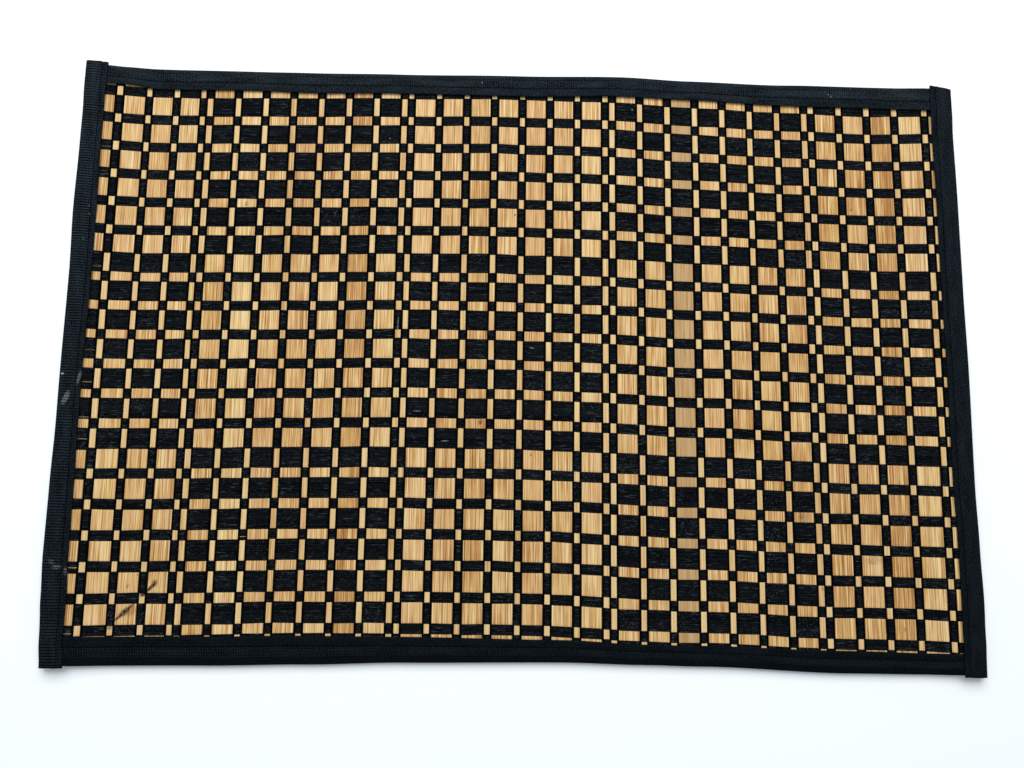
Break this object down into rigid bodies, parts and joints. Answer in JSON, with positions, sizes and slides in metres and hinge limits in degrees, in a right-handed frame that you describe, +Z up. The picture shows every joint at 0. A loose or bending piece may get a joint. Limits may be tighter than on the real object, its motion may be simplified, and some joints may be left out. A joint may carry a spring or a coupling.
{
  "type": "bamboo placemat",
  "caption": "Rectangular bamboo placemat: flat slats woven with bands of black thread in a log cabin pattern, bound with folded black tape.",
  "frame": {"origin": "centre of the mat's box, on the table", "axes": "+X along the long side to the right, +Y away from whoever sits at the mat, +Z up"},
  "size_m": [0.4536, 0.3018, 0.005],
  "materials": {
    "bamboo": "satin",
    "black_tape": "matt",
    "black_thread": "matt"
  },
  "bodies": {
    "root": {"woven_panel": "bamboo", "binding_top": "black_tape", "binding_bottom": "black_tape", "binding_left": "black_tape", "binding_right": "black_tape"}
  },
  "joints": []
}
